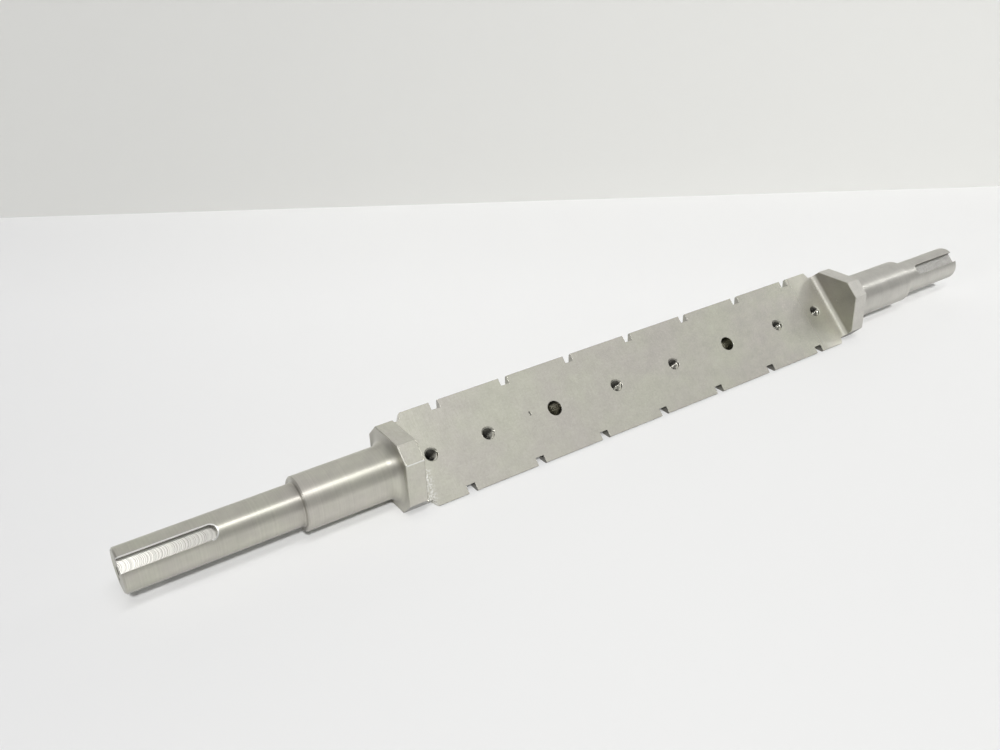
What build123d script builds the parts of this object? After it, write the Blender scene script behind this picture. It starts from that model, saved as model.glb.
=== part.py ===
from build123d import *
import math
import os

# Knife shaft: one piece of stainless bar, milled in the middle and turned at both ends.
# The shaft's axis is X and its long keyed end points to -X. It lies on the flats of its square middle, with +Z up.
# The origin is on the axis, at the middle of the knife seat.

# Bar
bar_side = 45.0  # square middle, across flats
round_bar_diameter = 60.0  # round bar that the square was milled from, left on the seat's long edges
collar_chamfer = 9.0  # leg of the chamfers along the square's corners
collar_width = 12.0
collar_edge_chamfer = 0.4
collar_land = 0.5  # least flat left on a collar's face between its edge and the sweep

# Knife seat, a flat through the axis from corner to corner of the square
seat_tilt = 45.0  # angle between the seat and the surface that the shaft lies on
seat_length = 362.0  # between the collars
seat_root_radius = 4.0  # rise from the seat to each collar
full_width_gap = 7.7  # from each collar to where the seat has its full width
full_width_taper = 25.0  # slope of the turned ends of the full width
seat_corner_radius = 1.0

# Slots across the seat's long edges
slot_pitch = 50.0
slot_count = 7
slot_width = 6.0
slot_depth = 5.0

# Holes along the middle of the seat, as distances from the middle of the shaft
screw_hole_stations = (25.0, 125.0, 165.0)
screw_hole_diameter = 8.0  # outer size of the thread
screw_sink_diameter = 8.8
screw_hole_depth = 18.0
dowel_hole_station = 75.0
dowel_hole_diameter = 9.7
dowel_sink_diameter = 10.1
dowel_hole_depth = 18.0
sink_angle = 90.0
drill_point_angle = 118.0

# Turned ends
journal_diameter = 32.0
end_diameter = 25.0
long_journal_length = 57.0
long_end_length = 96.5
short_journal_length = 62.5
short_end_length = 62.5
collar_root_radius = 6.0  # sweep from journal to collar
shoulder_root_radius = 0.8
shoulder_chamfer = 0.8
end_chamfer = 0.8

# Keyways, open at the end faces, in line with the seat
key_width = 8.0
key_depth = 4.0
long_key_length = 50.0
short_key_length = 48.0

# Centre holes in the end faces
centre_mouth_diameter = 5.0
centre_pilot_diameter = 2.5
centre_depth = 5.0
centre_angle = 60.0

# Punch mark below the long end's centre hole
punch_diameter = 2.4
punch_depth = 1.2
punch_place = (-1.5, -5.6)  # across and up from the axis, facing the end

# Small dent in the seat
dent_place = (-93.0, 2.3)  # along the shaft and across the seat
dent_length = 3.0
dent_width = 1.2
dent_depth = 0.4

# Places along the axis
collar_inside = seat_length / 2
collar_outside = collar_inside + collar_width
cutter_reach = round_bar_diameter  # longer than any cut across the bar

seat = Plane(origin=(0, 0, 0), x_dir=(1, 0, 0), z_dir=Vector(0, -1, 0).rotate(Axis.X, -seat_tilt))
seat_side = Plane(origin=(0, 0, 0), x_dir=(1, 0, 0), z_dir=-seat.y_dir)


def corner(face, x, y):
    """The vertex of a flat outline that lies at x, y."""
    return face.vertices().sort_by_distance((x, y, 0))[0]


def collar_section():
    square = Rectangle(bar_side, bar_side)
    return chamfer(square.vertices(), collar_chamfer)


def seat_section():
    """The square with the seat's two corners left whole and the other two chamfered."""
    square = Rectangle(bar_side, bar_side)
    off_seat = [vertex for vertex in square.vertices() if vertex.X * vertex.Y < 0]
    return chamfer(off_seat, collar_chamfer)


def along_axis(section, half_length):
    return extrude(Plane.YZ * section, half_length, both=True)


def collar(side):
    blank = extrude(Plane.YZ * collar_section(), collar_width)
    end_edges = blank.faces().filter_by(Axis.X).edges()
    blank = chamfer(end_edges, collar_edge_chamfer)
    return Pos(collar_inside if side > 0 else -collar_outside, 0, 0) * blank


def turned_blank():
    """The round bar where the seat has its full width, with a taper at each end."""
    radius = round_bar_diameter / 2
    half_length = collar_inside - full_width_gap
    foot = half_length + radius * math.tan(math.radians(full_width_taper))
    outline = make_face(
        Polyline(
            (-foot, 0),
            (-half_length, radius),
            (half_length, radius),
            (foot, 0),
            close=True,
        )
    )
    tips = [corner(outline, side * half_length, radius) for side in (-1, 1)]
    return revolve(fillet(tips, seat_corner_radius), Axis.X)


def seat_body():
    """The bar behind the seat: chamfered from collar to collar, and out to the round bar between."""
    bar = along_axis(collar_section(), collar_inside + collar_width / 2)
    bar = split(bar, seat.offset(seat_root_radius), keep=Keep.BOTTOM)
    return bar + (along_axis(seat_section(), collar_inside) & turned_blank())


def seat_cutter():
    """Everything above the seat, milled across the bar up to the collars."""
    middle = Pos(0, cutter_reach / 2) * Rectangle(2 * collar_inside, cutter_reach)
    roots = [corner(middle, side * collar_inside, 0) for side in (-1, 1)]
    return extrude(seat_side * fillet(roots, seat_root_radius), cutter_reach, both=True)


def slot_cutters():
    """Pairs of slots opposite each other, spread evenly about the middle."""
    edge = round_bar_diameter / 2
    first = -(slot_count - 1) / 2 * slot_pitch
    cutters = []
    for number in range(slot_count):
        for side in (-1, 1):
            middle = side * (edge - slot_depth + cutter_reach / 2)
            spot = Pos(first + number * slot_pitch, middle, 0)
            cutters.append(seat * spot * Box(slot_width, cutter_reach, cutter_reach))
    return cutters


def drill(mouth_diameter, mouth_angle, diameter, depth):
    """A countersunk drill that enters along -Z with its mouth at Z 0."""
    mouth = mouth_diameter / 2
    radius = diameter / 2
    sink_depth = (mouth - radius) / math.tan(math.radians(mouth_angle / 2))
    point = radius / math.tan(math.radians(drill_point_angle / 2))
    outline = make_face(
        Polyline(
            (0, diameter),
            (mouth, diameter),
            (mouth, 0),
            (radius, -sink_depth),
            (radius, -depth),
            (0, -depth - point),
            close=True,
        )
    )
    return revolve(Plane.XZ * outline, Axis.Z)


def seat_drills():
    screw = drill(screw_sink_diameter, sink_angle, screw_hole_diameter, screw_hole_depth)
    dowel = drill(dowel_sink_diameter, sink_angle, dowel_hole_diameter, dowel_hole_depth)
    cutters = []
    for side in (-1, 1):
        cutters += [seat * Pos(side * station, 0, 0) * screw for station in screw_hole_stations]
        cutters.append(seat * Pos(side * dowel_hole_station, 0, 0) * dowel)
    return cutters


def turned_end(side, journal_length, end_length):
    """Sweep, journal, shoulder and end as one turned outline that starts inside the collar."""
    journal = journal_diameter / 2
    end = end_diameter / 2
    sweep = min(collar_root_radius, (bar_side - journal_diameter) / 2 - collar_land)
    step = journal - end
    start = collar_outside - collar_width / 2
    shoulder = collar_outside + journal_length
    tip = shoulder + end_length
    outline = make_face(
        Polyline(
            (start, 0),
            (start, journal + sweep),
            (collar_outside, journal + sweep),
            (collar_outside, journal),
            (shoulder, journal),
            (shoulder, end),
            (tip, end),
            (tip, 0),
            close=True,
        )
    )
    outline = fillet(corner(outline, shoulder, end), min(shoulder_root_radius, step / 3))
    outline = chamfer(corner(outline, shoulder, journal), min(shoulder_chamfer, step / 3))
    outline = chamfer(corner(outline, tip, end), end_chamfer)
    root = Pos(collar_outside + sweep, journal + sweep) * Circle(sweep)
    flare = Pos(collar_outside + sweep / 2, journal + sweep / 2) * Rectangle(sweep, sweep)
    outline = outline + (flare - root)
    turned = revolve(outline, Axis.X)
    return turned if side > 0 else turned.mirror(Plane.YZ)


def keyway_cutter(side, tip, length):
    """A slot with a round inner end that runs out through the end face."""
    floor = end_diameter / 2 - key_depth
    slot = SlotOverall(2 * length, key_width)
    return extrude(seat.offset(floor) * Pos(side * tip, 0) * slot, end_diameter)


def centre_drill(side, tip):
    end_face = Plane(origin=(side * tip, 0, 0), z_dir=(side, 0, 0))
    return end_face * drill(centre_mouth_diameter, centre_angle, centre_pilot_diameter, centre_depth)


def punch_mark(tip):
    across, up = punch_place
    end_face = Plane(origin=(-tip, 0, 0), x_dir=(0, -1, 0), z_dir=(-1, 0, 0))
    mark = make_face(Polyline((0, 0), (punch_diameter / 2, 0), (0, -punch_depth), close=True))
    return end_face * Pos(across, up, 0) * revolve(Plane.XZ * mark, Axis.Z)


def dent():
    """A disc that stands across the shaft and bites a little into the seat."""
    radius = dent_length**2 / (8 * dent_depth) + dent_depth / 2
    disc = Rot(0, 90, 0) * Cylinder(radius, dent_width)
    return seat * Pos(*dent_place, radius - dent_depth) * disc


def knife_shaft():
    shaft = seat_body() - seat_cutter()
    ends = (
        (-1, long_journal_length, long_end_length, long_key_length),
        (1, short_journal_length, short_end_length, short_key_length),
    )
    long_tip = collar_outside + long_journal_length + long_end_length
    cutters = slot_cutters() + seat_drills() + [dent(), punch_mark(long_tip)]
    for side, journal_length, end_length, key_length in ends:
        tip = collar_outside + journal_length + end_length
        shaft += collar(side)
        shaft += turned_end(side, journal_length, end_length)
        cutters += [keyway_cutter(side, tip, key_length), centre_drill(side, tip)]
    return shaft - cutters


os.makedirs("parts", exist_ok=True)
export_step(knife_shaft(), "parts/knife_shaft.step")
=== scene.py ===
import math

import bpy
from mathutils import Matrix, Vector


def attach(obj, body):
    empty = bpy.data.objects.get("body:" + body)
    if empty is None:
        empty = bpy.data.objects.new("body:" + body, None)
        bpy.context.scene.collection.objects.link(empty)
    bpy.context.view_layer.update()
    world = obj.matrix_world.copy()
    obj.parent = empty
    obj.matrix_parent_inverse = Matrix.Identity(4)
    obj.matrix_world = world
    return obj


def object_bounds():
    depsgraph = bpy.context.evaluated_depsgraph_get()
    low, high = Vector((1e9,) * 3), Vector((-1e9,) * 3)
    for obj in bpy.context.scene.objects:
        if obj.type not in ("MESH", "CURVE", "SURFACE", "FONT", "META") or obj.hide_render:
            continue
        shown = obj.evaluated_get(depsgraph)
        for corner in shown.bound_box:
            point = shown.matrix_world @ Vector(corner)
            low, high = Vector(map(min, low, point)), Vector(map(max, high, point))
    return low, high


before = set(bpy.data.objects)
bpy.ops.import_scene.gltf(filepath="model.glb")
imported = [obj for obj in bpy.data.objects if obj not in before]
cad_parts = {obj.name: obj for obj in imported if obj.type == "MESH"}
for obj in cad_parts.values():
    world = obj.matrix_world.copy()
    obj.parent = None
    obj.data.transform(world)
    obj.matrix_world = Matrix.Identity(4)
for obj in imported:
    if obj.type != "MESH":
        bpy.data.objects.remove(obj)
cad_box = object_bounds()
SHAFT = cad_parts["knife_shaft"]
MM = 0.001
FLOOR_Z = cad_box[0].z

# Camera, as fitted to the photograph
IMAGE_WIDTH = 1000
FOCAL_PIXELS = 997.6
SENSOR_MM = 36.0
CAMERA_PLACE = Vector((-396.5, -444.7, 308.7)) * MM
CAMERA_YAW = math.radians(32.36)
CAMERA_PITCH = math.radians(27.37)
CAMERA_ROLL = math.radians(-2.69)
CLIP_START = 0.01
CLIP_END = 100

# Table and wall, whose colours hold painted light and shade
FLOOR_REACH = 4.0
# painted light: the floor's colour goes from darker to paler as the light does
FLOOR_DARK = (0.771, 0.771, 0.775, 1)
FLOOR_PALE = (0.867, 0.867, 0.862, 1)
FLOOR_PALER_WAY = Vector((1, -0.3, 0))
FLOOR_PALING = (-0.65, -0.05)  # where the floor turns pale, along that way
# painted shade on the floor along the foot of the wall
FLOOR_PAINTED_SHADE_BY_WALL = 0.9  # share of the colour left where the wall stands
FLOOR_SHADE_REACH = 0.3  # from the wall
# painted light: the wall's colour goes from darker on the left to paler on the right
WALL_DARK = (0.562, 0.562, 0.545, 1)
WALL_PALE = (0.673, 0.673, 0.652, 1)
WALL_FOOT_LEFT = Vector((-0.282, 0.756, 0))
WALL_FOOT_RIGHT = Vector((0.606, 0.129, 0))
WALL_ALONG = (WALL_FOOT_RIGHT - WALL_FOOT_LEFT).normalized()
WALL_FRONT = Vector((WALL_ALONG.y, -WALL_ALONG.x, 0))
WALL_PLACE = WALL_FRONT.dot(WALL_FOOT_LEFT)
WALL_HEIGHT = 0.4
WALL_REACH = 2.0
PLAIN_ROUGHNESS = 0.9
PLAIN_SPECULAR = 0.1

# Lamps
KEY_SIDE = Vector((-1.1, -3.6, 3.42))
KEY_ANGLE = math.radians(5)
KEY_STRENGTH = 2.6
STRIPS = {  # both ends, width and power
    "strip": (Vector((0.1, -0.80, 1.8)), Vector((-1.05, -1.20, 1.8)), 0.25, 10.0),
    "far_strip": (Vector((2.3, -0.55, 1.2)), Vector((3.1, -0.62, 1.3)), 0.25, 10.0),
    "side_strip": (Vector((-2.76, -0.24, 1.1)), Vector((-2.76, -0.64, 1.2)), 0.4, 6.0),
}

# Sky. Its turn over the shaft goes from the back, at 0 degrees, to the front, at 180.
SKY_COLOUR = (1, 1, 0.99, 1)
SKY_BACK = 0.79
SKY_TOP = 0.85
SKY_FRONT = 0.60
SKY_RISE = (math.radians(80), math.radians(105))
SKY_FALL = (math.radians(130), math.radians(143))
SKY_LEFT = (-0.45, 0.05, 0.5, 1.0)  # start and end along X, and the share of the light there
SKY_RIGHT = (0.45, 0.85, 1.0, 0.74)
SKY_DIFFUSE_SHARE = 0.27
BACKGROUND = 0.82

# Places on the shaft
EDGE_ROUNDING = 0.4 * MM
COLLAR_INSIDE = 181 * MM
COLLAR_OUTSIDE = 193 * MM
TURNED_START = COLLAR_OUTSIDE - 0.5 * MM
PALE_START = COLLAR_INSIDE + EDGE_ROUNDING
LONG_END = -253 * MM
LONG_TIP = -346.5 * MM
KEY_WIDTH = 8 * MM
KEYWAY_FLOOR = 8.5 * MM
KEYWAY_ROUND = -300.5 * MM  # middle of the long keyway's round end
KEYWAY_LIP = 0.8 * MM
LIP_BOTTOM = KEYWAY_FLOOR + 1.5 * MM
CHAMFER_FACE = 24 * MM
SLOT_FLOOR = 25 * MM
SLOT_TOP = -0.3 * MM
SLOTS_END = 160 * MM
BORE_RADIUS = 5.3 * MM
BORE_DEPTH = 22 * MM
BORES_END = COLLAR_INSIDE - 5 * MM
DENT_TOP = -0.05 * MM
PIT_REACH = 8 * MM
PITS_START = 300 * MM
SCRAPE_PLACE = -171.3 * MM
SCRAPE_SLANT = -0.175
RIGHT_ROOT = COLLAR_INSIDE - 4 * MM
SLOT_WALL_FACING = 0.9  # how far sideways a slot's wall faces at least
END_FACE_FACING = 0.95

# Bands on the shaft, each with its middle and half its width
KEYWAY_FLOOR_BAND = (KEYWAY_FLOOR, 0.2 * MM)
KEYWAY_ACROSS = (0.0, KEY_WIDTH / 2)
LIP_BAND = ((KEY_WIDTH + KEYWAY_LIP) / 2, KEYWAY_LIP / 2)
SLOT_FLOOR_BAND = (SLOT_FLOOR, 0.1 * MM)
BORE_ACROSS = (0.0, BORE_RADIUS)
DOWEL_BAND = (75 * MM, 2 * BORE_RADIUS)
DENT_ALONG = (-93 * MM, 1 * MM)
DENT_ACROSS = (2.3 * MM, 2 * MM)
ROUGH_HEIGHT = (2 * MM, 2.5 * MM)
# places of the painted highlights on the left collar's edges
EDGE_HIGHLIGHT_RIM = (-COLLAR_OUTSIDE + 0.2 * MM, 0.35 * MM)
EDGE_HIGHLIGHT_CORNER = (-6.36 * MM, 0.3 * MM)

# Colours of the steel
BROWN_STEEL = (0.602, 0.575, 0.53, 1)
GREEN_STEEL = (0.622, 0.62, 0.53, 1)
PALE_STEEL = (0.662, 0.647, 0.605, 1)
KEYWAY_STEEL = (0.610, 0.600, 0.572, 1)
KEYWAY_TINT_SHARE = 0.7
# bright colour of the scratch specks, painted as glints, and of the painted highlights on the collar's
# edges
SCUFF_AND_HIGHLIGHT_STEEL = (0.9, 0.9, 0.86, 1)
# bright colour of the painted highlight on the long keyway's lip
LIP_HIGHLIGHT_STEEL = (0.98, 0.98, 0.95, 1)

# Patterns in the steel, each with its scale, detail and roughness
PATCHES = (22.0, 4.0, 0.6)
MOTTLE = (110.0, 3.0, 0.6)
GRAIN = (700.0, 3.0, 0.7)
SPECKS = (900.0, 2.0, 0.7)
STROKES = (1500.0, 3.0, 0.6)
RINGS = (900.0, 3.0)
ARCS = (2400.0, 6.0)
STROKE_STRETCH = 0.08

# Smooth changes, here and below, each with its start and end and, unless they are 0 and 1, its levels there
PATCH_EDGES = (0.3, 0.7)
SPECK_EDGES = (0.45, 0.65)
STROKE_EDGES = (0.3, 0.7)

# Marks on the seat
SCRAPE_SPREAD = (0.0, 5 * MM, 1.0, 0.0)
SCRAPE_DOWN = (-4 * MM, -12 * MM)
ROOT_SPREAD = (0.0, 4 * MM, 0.6, 0.0)
ROUGH_START = (COLLAR_INSIDE - 28 * MM, COLLAR_INSIDE - 8 * MM)
ROUGH_STOP = (COLLAR_INSIDE - 4 * MM, COLLAR_INSIDE - 2 * MM, 1.0, 0.0)
STROKES_LEFT = (-COLLAR_INSIDE + 10 * MM, -COLLAR_INSIDE + 60 * MM, 1.0, 0.0)
STROKES_UP = (0.0, 20 * MM, 0.0, 0.06)
STROKE_STRENGTH = 0.035
STROKE_BASE = 0.98

# Shades of the milled faces: random clouds and mill arcs, and painted shade and light elsewhere
CLOUD_STRENGTH = 0.22
CLOUD_BASE = 0.76
# painted shade on milled faces that face along the shaft, such as the collars' inner faces
COLLAR_FACE_PAINTED_SHADE = (0.85, 1.0, 1.0, 0.62)
# painted shade on milled faces that face down, such as the collars' lower chamfers
CHAMFER_PAINTED_SHADE = (-0.5, -0.7, 1.0, 0.33)
BORE_TOP = (-0.2 * MM, -1.5 * MM)
BORE_LIGHT_SLANT = -0.8
# painted shade down in the threaded holes, with a painted glint on the side that faces the light
BORE_PAINTED_SHADE_AND_GLINT = (2.4 * MM, 4.4 * MM, 0.33, 1.3)
# painted shade in the slots
SLOT_PAINTED_SHADE = 0.5
# painted shade in the dent
DENT_PAINTED_SHADE = 0.4
# painted light that makes the rough end by the right root paler, most near its lower edge
ROUGH_PAINTED_LIGHT = (-2 * MM, 20 * MM, 1.38, 1.05)
# painted shade on the keyways' floors: the long one darker inward from its tip, the short one darker all
# over
LONG_KEYWAY_PAINTED_SHADE = (LONG_TIP, LONG_TIP + 40 * MM, 0.85, 0.66)
SHORT_KEYWAY_PAINTED_SHADE = 0.68
ARC_SHADE = (0.38, 0.62, 0.55, 1.28)

# Shades of the turned ends: rings and random tone, and painted shade on end faces, undersides and pits
RING_SHADES = (0.93, 1.11)  # darkest and palest
PATCH_SHADES = (0.93, 1.07)
MOTTLE_SHADES = (0.88, 1.12)
# painted shade on turned faces that face along the shaft, such as the collars' outer faces
END_FACE_PAINTED_SHADE = (0.5, 1.0, 1.0, 0.78)
# painted shade on the undersides of the turned ends
UNDERSIDE_PAINTED_SHADE = (-0.15, -0.70, 1.0, 0.72)
LEFT_SHADE = (LONG_END, LONG_END + 5 * MM, 0.94, 1.0)
RIGHT_SHADE = (COLLAR_INSIDE, COLLAR_OUTSIDE, 1.0, 0.95)
# painted shade in the centre holes and the punch mark
PIT_PAINTED_SHADE = 0.35

# Finish of the steel
MILLED_ROUGHNESS = (COLLAR_INSIDE - 7 * MM, COLLAR_INSIDE - 4 * MM, 0.26, 0.5)
ROUGH_ROUGHNESS = 0.5
ARC_ROUGHNESS = (0.35, 0.65, 0.42, 0.3)
ARC_DEPTH = 0.01 * MM
ARC_STRENGTH = 0.4
TURNED_ROUGHNESS = (0.40, 0.44)  # least and most
ANISOTROPY = 0.85
ANISOTROPY_TURN = 0.25
EDGE_SAMPLES = 4

# Threads in the screw holes, in millimetres
SCREW_STATIONS = (-165, -125, -25, 25, 125, 165)
SEAT_NORMAL = Vector((0, -1, 1)).normalized()
THREAD_PITCH = 1.25
THREAD_OUTER_RADIUS = 4.03
THREAD_CREST_RADIUS = 3.35
THREAD_CREST = THREAD_PITCH / 8
THREAD_FOOT = THREAD_PITCH * 7 / 16
THREAD_PROFILE = (
    (THREAD_OUTER_RADIUS, THREAD_FOOT),
    (THREAD_CREST_RADIUS, THREAD_CREST),
    (THREAD_CREST_RADIUS, -THREAD_CREST),
    (THREAD_OUTER_RADIUS, -THREAD_FOOT),
)
THREAD_TOP = -0.9
THREAD_TURNS = 12
THREAD_STEPS = 40


def add(tree, kind, inputs, output=0, **settings):
    """A node with its settings and inputs in place. Its output socket comes back."""
    node = tree.nodes.new(kind)
    for name, value in settings.items():
        setattr(node, name, value)
    for key, value in inputs.items():
        if isinstance(value, bpy.types.NodeSocket):
            tree.links.new(value, node.inputs[key])
        else:
            node.inputs[key].default_value = value
    return node.outputs[output]


def parts_of(tree, vector):
    """The X, Y and Z of a vector."""
    node = tree.nodes.new("ShaderNodeSeparateXYZ")
    tree.links.new(vector, node.inputs[0])
    return tuple(node.outputs)


def distance(tree, place, direction):
    """How far a place is along a direction."""
    inputs = {0: place, 1: direction}
    return add(tree, "ShaderNodeVectorMath", inputs, "Value", operation="DOT_PRODUCT")


def maths(tree, operation, *values):
    return add(tree, "ShaderNodeMath", dict(enumerate(values)), operation=operation)


def times(tree, product, *factors):
    """All the values multiplied."""
    for factor in factors:
        product = maths(tree, "MULTIPLY", product, factor)
    return product


def over(tree, value, limit):
    """One over the limit and none elsewhere."""
    return maths(tree, "GREATER_THAN", value, limit)


def under(tree, value, limit):
    """One under the limit and none elsewhere."""
    return maths(tree, "LESS_THAN", value, limit)


def band(tree, value, middle, half_width):
    """One within the band and none outside it."""
    return maths(tree, "COMPARE", value, middle, half_width)


def ramp(tree, value, start, end, low=0.0, high=1.0):
    """A smooth change from low to high while the value goes from start to end."""
    inputs = {"Value": value, "From Min": start, "From Max": end, "To Min": low, "To Max": high}
    return add(tree, "ShaderNodeMapRange", inputs, interpolation_type="SMOOTHSTEP")


def mix(tree, factor, first, second):
    """A number between the first and the second."""
    return add(tree, "ShaderNodeMix", {"Factor": factor, "A": first, "B": second}, "Result")


def inside(tree, mask, level):
    """The level inside the mask and one outside it."""
    return mix(tree, mask, 1.0, level)


def mix_colour(tree, factor, first, second, blend="MIX"):
    """A colour between the first and the second."""
    inputs = {0: factor, 6: first, 7: second}
    return add(tree, "ShaderNodeMix", inputs, 2, data_type="RGBA", blend_type=blend)


def shaded(tree, colour, shade):
    return mix_colour(tree, 1.0, colour, shade, "MULTIPLY")


def noise(tree, place, scale, detail, roughness):
    inputs = {"Vector": place, "Scale": scale, "Detail": detail, "Roughness": roughness}
    return add(tree, "ShaderNodeTexNoise", inputs)


def line_noise(tree, value, scale, detail):
    """Noise that changes along one direction only."""
    inputs = {"W": value, "Scale": scale, "Detail": detail}
    return add(tree, "ShaderNodeTexNoise", inputs, noise_dimensions="1D")


def new_material(name):
    material = bpy.data.materials.new(name)
    material.use_nodes = True
    return material, material.node_tree, material.node_tree.nodes["Principled BSDF"]


def new_object(name, data):
    made = bpy.data.objects.new(name, data)
    bpy.context.collection.objects.link(made)
    return made


def placed(middle, right, up, backward):
    """The place and turn of an object whose axes have these directions."""
    turn = Matrix((right, up, backward)).transposed()
    return Matrix.Translation(middle) @ turn.to_4x4()


def make_camera():
    forward = Vector(
        (
            math.sin(CAMERA_YAW) * math.cos(CAMERA_PITCH),
            math.cos(CAMERA_YAW) * math.cos(CAMERA_PITCH),
            -math.sin(CAMERA_PITCH),
        )
    )
    level_right = Vector((math.cos(CAMERA_YAW), -math.sin(CAMERA_YAW), 0))
    level_up = level_right.cross(forward)
    right = level_right * math.cos(CAMERA_ROLL) + level_up * math.sin(CAMERA_ROLL)
    data = bpy.data.cameras.new("camera")
    data.sensor_width = SENSOR_MM
    data.lens = FOCAL_PIXELS / IMAGE_WIDTH * SENSOR_MM
    data.clip_start = CLIP_START
    data.clip_end = CLIP_END
    camera = new_object("camera", data)
    camera.matrix_world = placed(CAMERA_PLACE, right, right.cross(forward), -forward)
    bpy.context.scene.camera = camera


def plain_sheet(name, corners):
    mesh = bpy.data.meshes.new(name)
    mesh.from_pydata(corners, [], [(0, 1, 2, 3)])
    sheet = new_object(name, mesh)
    material, tree, shader = new_material(name)
    shader.inputs["Roughness"].default_value = PLAIN_ROUGHNESS
    shader.inputs["Specular IOR Level"].default_value = PLAIN_SPECULAR
    mesh.materials.append(material)
    return tree, shader


def make_floor():
    """A floor whose colour holds painted light, paler to the front right, and a faint painted shade along
    the wall.
    """
    ring = ((-1, -1), (1, -1), (1, 1), (-1, 1))
    corners = [Vector((x * FLOOR_REACH, y * FLOOR_REACH, FLOOR_Z)) for x, y in ring]
    tree, shader = plain_sheet("floor", corners)
    place = add(tree, "ShaderNodeTexCoord", {}, "Object")
    # painted light: paler to the front right
    share = ramp(tree, distance(tree, place, FLOOR_PALER_WAY), *FLOOR_PALING)
    colour = mix_colour(tree, share, FLOOR_DARK, FLOOR_PALE)
    # painted shade along the wall's foot
    from_wall = distance(tree, place, WALL_FRONT)
    shade_end = WALL_PLACE + FLOOR_SHADE_REACH
    painted_wall_shade = ramp(tree, from_wall, WALL_PLACE, shade_end, FLOOR_PAINTED_SHADE_BY_WALL, 1.0)
    tree.links.new(shaded(tree, colour, painted_wall_shade), shader.inputs["Base Color"])


def make_wall():
    """A plain wall that can be seen from the front only, with painted light that makes its colour paler to
    the right.
    """
    left = WALL_FOOT_LEFT - WALL_ALONG * WALL_REACH
    right = WALL_FOOT_RIGHT + WALL_ALONG * WALL_REACH
    left.z = right.z = FLOOR_Z
    tall = Vector((0, 0, WALL_HEIGHT))
    tree, shader = plain_sheet("wall", [left, right, right + tall, left + tall])
    place = add(tree, "ShaderNodeTexCoord", {}, "Object")
    x = add(tree, "ShaderNodeSeparateXYZ", {"Vector": place}, "X")
    # painted light: paler to the right
    share = ramp(tree, x, WALL_FOOT_LEFT.x, WALL_FOOT_RIGHT.x)
    tree.links.new(mix_colour(tree, share, WALL_DARK, WALL_PALE), shader.inputs["Base Color"])
    behind = add(tree, "ShaderNodeNewGeometry", {}, "Backfacing")
    clear = add(tree, "ShaderNodeBsdfTransparent", {})
    both = add(tree, "ShaderNodeMixShader", {0: behind, 1: shader.outputs[0], 2: clear})
    tree.links.new(both, tree.nodes["Material Output"].inputs["Surface"])


def make_key():
    """Even light from the front, which the steel doesn't mirror."""
    data = bpy.data.lights.new("key", "SUN")
    data.energy = KEY_STRENGTH
    data.angle = KEY_ANGLE
    key = new_object("key", data)
    key.rotation_mode = "QUATERNION"
    key.rotation_quaternion = KEY_SIDE.to_track_quat("Z", "Y")
    key.visible_glossy = False


def make_strip(name, start, end, width, power):
    """A lamp from start to end that faces the shaft."""
    data = bpy.data.lights.new(name, "AREA")
    data.shape = "RECTANGLE"
    data.size = (end - start).length
    data.size_y = width
    data.energy = power
    middle = (start + end) / 2
    along = (end - start).normalized()
    backward = (middle - along * middle.dot(along)).normalized()
    strip = new_object(name, data)
    strip.matrix_world = placed(middle, along, backward.cross(along), backward)


def make_strips():
    """Two strips overhead along the shaft and one beside it."""
    for name, strip in STRIPS.items():
        make_strip(name, *strip)


def make_sky():
    """Soft light from all round, darker in front and on the left, against a plain pale background."""
    world = bpy.data.worlds.new("room")
    bpy.context.scene.world = world
    world.use_nodes = True
    tree = world.node_tree
    x, y, z = parts_of(tree, add(tree, "ShaderNodeTexCoord", {}, "Generated"))
    turn = maths(tree, "ARCTAN2", z, y)
    rising = ramp(tree, turn, *SKY_RISE, SKY_BACK, SKY_TOP)
    falling = ramp(tree, turn, *SKY_FALL, 0.0, SKY_TOP - SKY_FRONT)
    level = maths(tree, "SUBTRACT", rising, falling)
    sides = times(tree, ramp(tree, x, *SKY_LEFT), ramp(tree, x, *SKY_RIGHT))
    path = tree.nodes.new("ShaderNodeLightPath")
    diffuse = inside(tree, path.outputs["Is Diffuse Ray"], SKY_DIFFUSE_SHARE)
    level = times(tree, level, sides, diffuse)
    level = mix(tree, path.outputs["Is Camera Ray"], level, BACKGROUND)
    background = tree.nodes["Background"]
    background.inputs["Color"].default_value = SKY_COLOUR
    tree.links.new(level, background.inputs["Strength"])


class Surface:
    """Where a point of the shaft lies, how it faces and the patterns in its steel.

    x is along the shaft, and out is how far that is from the middle. above is off the seat's
    plane, and across is over the seat's width. sideways and upward are how it faces.
    """

    def __init__(self, tree):
        self.place = add(tree, "ShaderNodeTexCoord", {}, "Object")
        self.x, y, z = parts_of(tree, self.place)
        half = math.sqrt(0.5)
        self.out = maths(tree, "ABSOLUTE", self.x)
        self.above = times(tree, maths(tree, "SUBTRACT", z, y), half)
        self.across = times(tree, maths(tree, "ADD", z, y), half)
        normal = parts_of(tree, add(tree, "ShaderNodeNewGeometry", {}, "Normal"))
        self.sideways = maths(tree, "ABSOLUTE", normal[0])
        self.upward = normal[2]
        self.patches = noise(tree, self.place, *PATCHES)
        self.mottle = noise(tree, self.place, *MOTTLE)
        self.grain = noise(tree, self.place, *GRAIN)
        self.rings = line_noise(tree, self.x, *RINGS)


def keyway_mask(tree, at):
    """The keyways' floors."""
    on_floor = band(tree, at.above, *KEYWAY_FLOOR_BAND)
    return times(tree, on_floor, band(tree, at.across, *KEYWAY_ACROSS))


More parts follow.
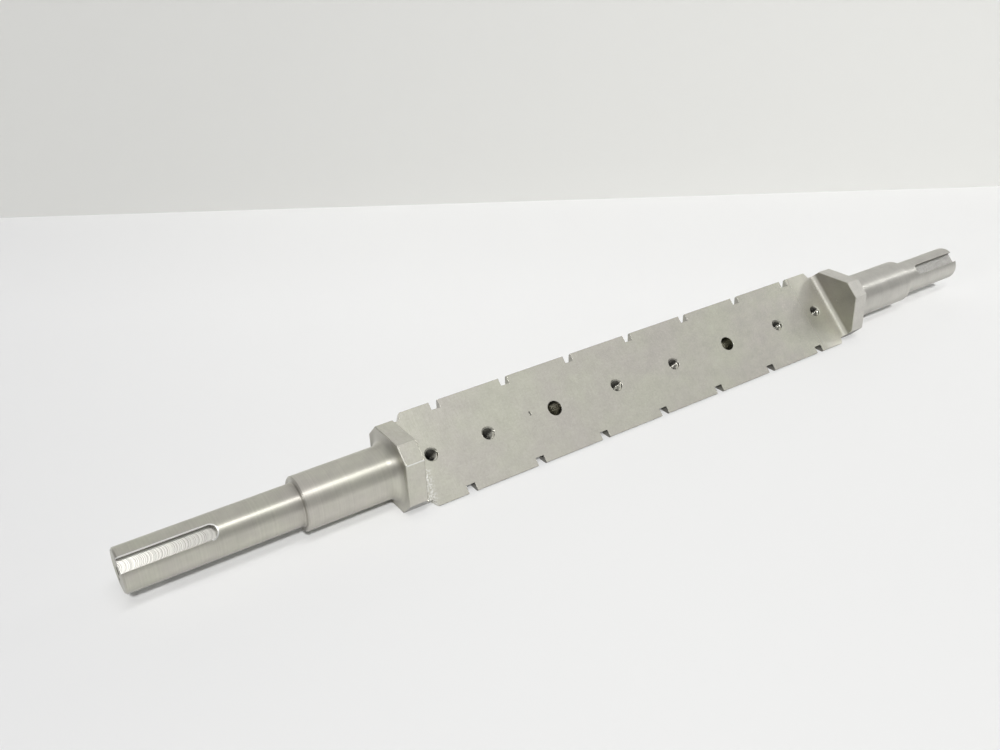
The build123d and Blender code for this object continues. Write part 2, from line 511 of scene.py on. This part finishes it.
def keyway_arcs(tree, at):
    """Arcs that an end mill leaves on the keyways' floors."""
    square = times(tree, at.across, at.across)
    rest = maths(tree, "MAXIMUM", maths(tree, "SUBTRACT", (KEY_WIDTH / 2) ** 2, square), 0.0)
    arc = maths(tree, "SUBTRACT", at.x, maths(tree, "SQRT", rest))
    return line_noise(tree, arc, *ARCS)


# Painted shade on the keyways' floors, with the light and dark of the mill arcs.
def keyway_shade(tree, at, arcs):
    shade = ramp(tree, at.x, *LONG_KEYWAY_PAINTED_SHADE)
    shade = mix(tree, over(tree, at.x, 0.0), shade, SHORT_KEYWAY_PAINTED_SHADE)
    return times(tree, shade, ramp(tree, arcs, *ARC_SHADE))


def keyway_lip_highlight(tree, at):
    """A painted highlight along the upper lip and the round end of the long keyway."""
    beyond = maths(tree, "MAXIMUM", maths(tree, "SUBTRACT", at.x, KEYWAY_ROUND), 0.0)
    beyond_square = maths(tree, "POWER", beyond, 2.0)
    square = maths(tree, "MULTIPLY_ADD", at.across, at.across, beyond_square)
    line = band(tree, maths(tree, "SQRT", square), *LIP_BAND)
    upper = maths(tree, "MAXIMUM", over(tree, at.across, 0.0), over(tree, beyond, 0.0))
    high = over(tree, at.above, LIP_BOTTOM)
    return times(tree, line, upper, high, under(tree, at.x, LONG_END))


def hole_offset(tree, at):
    """How far along the shaft a place is from the middle of the screw hole around it."""
    total = 0.0
    for station in SCREW_STATIONS:
        beside = maths(tree, "SUBTRACT", at.x, station * MM)
        near = band(tree, at.x, station * MM, BORE_RADIUS)
        total = maths(tree, "MULTIPLY_ADD", beside, near, total)
    return total


def bore_painted_shade_and_glint(tree, at):
    """Painted shade down in the threaded holes, and a painted glint on the side of each that faces the
    light.
    """
    dowels = band(tree, at.out, *DOWEL_BAND)
    threaded = maths(tree, "SUBTRACT", under(tree, at.out, BORES_END), dowels)
    mask = times(
        tree,
        band(tree, at.across, *BORE_ACROSS),
        threaded,
        over(tree, at.above, -BORE_DEPTH),
        ramp(tree, at.above, *BORE_TOP),
    )
    toward_light = maths(tree, "MULTIPLY_ADD", at.across, BORE_LIGHT_SLANT, hole_offset(tree, at))
    return inside(tree, mask, ramp(tree, toward_light, *BORE_PAINTED_SHADE_AND_GLINT))


def slot_mask(tree, at):
    """The walls and floors of the slots in the seat's lower edge, which get a painted shade."""
    down = times(tree, at.across, -1.0)
    facing = over(tree, at.sideways, SLOT_WALL_FACING)
    wall = times(tree, facing, under(tree, at.out, SLOTS_END), over(tree, down, SLOT_FLOOR))
    either = maths(tree, "MAXIMUM", wall, band(tree, down, *SLOT_FLOOR_BAND))
    return times(tree, either, under(tree, at.above, SLOT_TOP))


# The dent in the seat, which gets a painted shade.
def dent_mask(tree, at):
    near = times(tree, band(tree, at.x, *DENT_ALONG), band(tree, at.across, *DENT_ACROSS))
    return times(tree, under(tree, at.above, DENT_TOP), near)


def rough_mask(tree, at):
    """The rough end of the seat beside its right root, which also gets painted light."""
    along = times(tree, ramp(tree, at.x, *ROUGH_START), ramp(tree, at.x, *ROUGH_STOP))
    return times(tree, band(tree, at.above, *ROUGH_HEIGHT), along)


def pit_mask(tree, at):
    """The centre holes and the punch mark in the end faces, which get a painted shade."""
    square = maths(tree, "MULTIPLY_ADD", at.above, at.above, times(tree, at.across, at.across))
    near = under(tree, square, PIT_REACH**2)
    sunk = under(tree, at.sideways, END_FACE_FACING)
    return times(tree, near, sunk, over(tree, at.out, PITS_START))


def scuffs_and_glints(tree, at):
    """Scratch specks at the foot of the right root and where the left of the seat has been scraped, painted
    bright as glints.
    """
    specks = ramp(tree, noise(tree, at.place, *SPECKS), *SPECK_EDGES)
    slanted = maths(tree, "MULTIPLY_ADD", at.across, SCRAPE_SLANT, at.x)
    from_scrape = maths(tree, "ABSOLUTE", maths(tree, "SUBTRACT", slanted, SCRAPE_PLACE))
    scrape = times(tree, ramp(tree, from_scrape, *SCRAPE_SPREAD), ramp(tree, at.across, *SCRAPE_DOWN))
    from_root = maths(tree, "ABSOLUTE", maths(tree, "SUBTRACT", at.x, RIGHT_ROOT))
    root = ramp(tree, from_root, *ROOT_SPREAD)
    return times(tree, maths(tree, "MAXIMUM", scrape, root), specks)


def edge_highlights(tree, at):
    """Painted highlights on the left collar's edges beside the seat."""
    corner = times(tree, band(tree, at.across, *EDGE_HIGHLIGHT_CORNER), under(tree, at.x, 0.0))
    either = maths(tree, "MAXIMUM", band(tree, at.x, *EDGE_HIGHLIGHT_RIM), corner)
    return times(tree, over(tree, at.above, CHAMFER_FACE), either)


def brushing(tree, at):
    """Faint strokes across the seat, stronger near its upper left corner."""
    stretched = {"X": at.x, "Y": times(tree, at.across, STROKE_STRETCH)}
    place = add(tree, "ShaderNodeCombineXYZ", stretched)
    strokes = ramp(tree, noise(tree, place, *STROKES), *STROKE_EDGES)
    corner = times(tree, ramp(tree, at.x, *STROKES_LEFT), ramp(tree, at.across, *STROKES_UP))
    strength = maths(tree, "ADD", corner, STROKE_STRENGTH)
    return maths(tree, "MULTIPLY_ADD", strokes, strength, STROKE_BASE)


def steel_tint(tree, at, keyway):
    """Browner and greener patches, with the right end and the keyways' floors paler."""
    tint = mix_colour(tree, ramp(tree, at.patches, *PATCH_EDGES), BROWN_STEEL, GREEN_STEEL)
    tint = mix_colour(tree, over(tree, at.x, PALE_START), tint, PALE_STEEL)
    return mix_colour(tree, times(tree, keyway, KEYWAY_TINT_SHARE), tint, KEYWAY_STEEL)


def milled_shade(tree, at, keyway, arcs, rough):
    clouds = maths(tree, "ADD", at.mottle, at.grain)
    clouds = maths(tree, "MULTIPLY_ADD", clouds, CLOUD_STRENGTH, CLOUD_BASE)
    flats = times(tree, clouds, ramp(tree, at.sideways, *COLLAR_FACE_PAINTED_SHADE), brushing(tree, at))
    return times(
        tree,
        mix(tree, keyway, flats, keyway_shade(tree, at, arcs)),
        bore_painted_shade_and_glint(tree, at),
        inside(tree, slot_mask(tree, at), SLOT_PAINTED_SHADE),
        inside(tree, dent_mask(tree, at), DENT_PAINTED_SHADE),
        inside(tree, rough, ramp(tree, at.across, *ROUGH_PAINTED_LIGHT)),
        ramp(tree, at.upward, *CHAMFER_PAINTED_SHADE),
    )


def turned_shade(tree, at):
    return times(
        tree,
        mix(tree, at.rings, *RING_SHADES),
        ramp(tree, at.sideways, *END_FACE_PAINTED_SHADE),
        mix(tree, at.patches, *PATCH_SHADES),
        mix(tree, at.mottle, *MOTTLE_SHADES),
        ramp(tree, at.x, *LEFT_SHADE),
        ramp(tree, at.x, *RIGHT_SHADE),
        ramp(tree, at.upward, *UNDERSIDE_PAINTED_SHADE),
        inside(tree, pit_mask(tree, at), PIT_PAINTED_SHADE),
    )


def finish_milled(tree, shader, at, keyway, tint, edges):
    """Clouded and brushed faces, dull at the rough root, with mill arcs in the keyways, painted shade in
    the holes, slots, dent and lower chamfers, and painted glints and highlights on the scuffs and the left
    collar's edges.
    """
    arcs = keyway_arcs(tree, at)
    rough = rough_mask(tree, at)
    colour = shaded(tree, tint, milled_shade(tree, at, keyway, arcs, rough))
    scuffs_and_highlights = maths(tree, "MAXIMUM", scuffs_and_glints(tree, at), edge_highlights(tree, at))
    colour = mix_colour(tree, scuffs_and_highlights, colour, SCUFF_AND_HIGHLIGHT_STEEL)
    roughness = mix(tree, rough, ramp(tree, at.x, *MILLED_ROUGHNESS), ROUGH_ROUGHNESS)
    roughness = mix(tree, keyway, roughness, ramp(tree, arcs, *ARC_ROUGHNESS))
    height = times(tree, arcs, keyway)
    inputs = {"Height": height, "Strength": ARC_STRENGTH, "Distance": ARC_DEPTH, "Normal": edges}
    tree.links.new(colour, shader.inputs["Base Color"])
    tree.links.new(roughness, shader.inputs["Roughness"])
    tree.links.new(add(tree, "ShaderNodeBump", inputs), shader.inputs["Normal"])
    shader.inputs["Metallic"].default_value = 1.0


def finish_turned(tree, shader, at, tint, edges):
    """Ringed ends that gleam along the shaft, with a painted highlight on the long keyway's lip."""
    colour = shaded(tree, tint, turned_shade(tree, at))
    colour = mix_colour(tree, keyway_lip_highlight(tree, at), colour, LIP_HIGHLIGHT_STEEL)
    tangent = add(tree, "ShaderNodeTangent", {}, direction_type="RADIAL", axis="X")
    tree.links.new(colour, shader.inputs["Base Color"])
    tree.links.new(mix(tree, at.rings, *TURNED_ROUGHNESS), shader.inputs["Roughness"])
    tree.links.new(tangent, shader.inputs["Tangent"])
    tree.links.new(edges, shader.inputs["Normal"])
    shader.inputs["Anisotropic"].default_value = ANISOTROPY
    shader.inputs["Anisotropic Rotation"].default_value = ANISOTROPY_TURN
    shader.inputs["Metallic"].default_value = 1.0


def steel():
    """Milled flats and turned ends, mixed by their places on the shaft."""
    material, tree, milled = new_material("stainless_steel")
    lathe = tree.nodes.new("ShaderNodeBsdfPrincipled")
    at = Surface(tree)
    keyway = keyway_mask(tree, at)
    ends = over(tree, at.out, TURNED_START)
    turned = maths(tree, "SUBTRACT", ends, times(tree, ends, keyway))
    tint = steel_tint(tree, at, keyway)
    edges = add(tree, "ShaderNodeBevel", {"Radius": EDGE_ROUNDING}, samples=EDGE_SAMPLES)
    finish_milled(tree, milled, at, keyway, tint, edges)
    finish_turned(tree, lathe, at, tint, edges)
    shaders = {0: turned, 1: milled.outputs[0], 2: lathe.outputs[0]}
    both = add(tree, "ShaderNodeMixShader", shaders)
    tree.links.new(both, tree.nodes["Material Output"].inputs["Surface"])
    return material


def ridge_points(station):
    """Sections of a thread's ridge, one after the other down a screw hole."""
    side = Vector((1, 0, 0))
    across = SEAT_NORMAL.cross(side)
    points = []
    for step in range(THREAD_TURNS * THREAD_STEPS + 1):
        turn = 2 * math.pi * step / THREAD_STEPS
        outward = side * math.cos(turn) + across * math.sin(turn)
        middle = THREAD_TOP - THREAD_PITCH * step / THREAD_STEPS
        for radius, rise in THREAD_PROFILE:
            points.append((side * station + outward * radius + SEAT_NORMAL * (middle + rise)) * MM)
    return points


def ridge_faces():
    """Faces between neighbouring sections, and one that closes each end."""
    corners = len(THREAD_PROFILE)
    steps = THREAD_TURNS * THREAD_STEPS
    faces = []
    for step in range(steps):
        here = step * corners
        there = here + corners
        for corner in range(corners):
            beside = (corner + 1) % corners
            faces.append((here + corner, there + corner, there + beside, here + beside))
    last = (steps + 1) * corners - 1
    faces.append(tuple(range(corners)))
    faces.append(tuple(last - corner for corner in range(corners)))
    return faces


def make_threads(material):
    """The raised helix of an internal thread in each screw hole."""
    for number, station in enumerate(SCREW_STATIONS, start=1):
        name = f"thread_{number}"
        mesh = bpy.data.meshes.new(name)
        mesh.from_pydata(ridge_points(station), [], ridge_faces())
        mesh.materials.append(material)
        ridge = new_object(name, mesh)
        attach(ridge, "root")


make_camera()
make_floor()
make_wall()
make_key()
make_strips()
make_sky()
shaft_steel = steel()
SHAFT.data.materials.clear()
SHAFT.data.materials.append(shaft_steel)
make_threads(shaft_steel)
bpy.context.scene.view_settings.view_transform = "Standard"
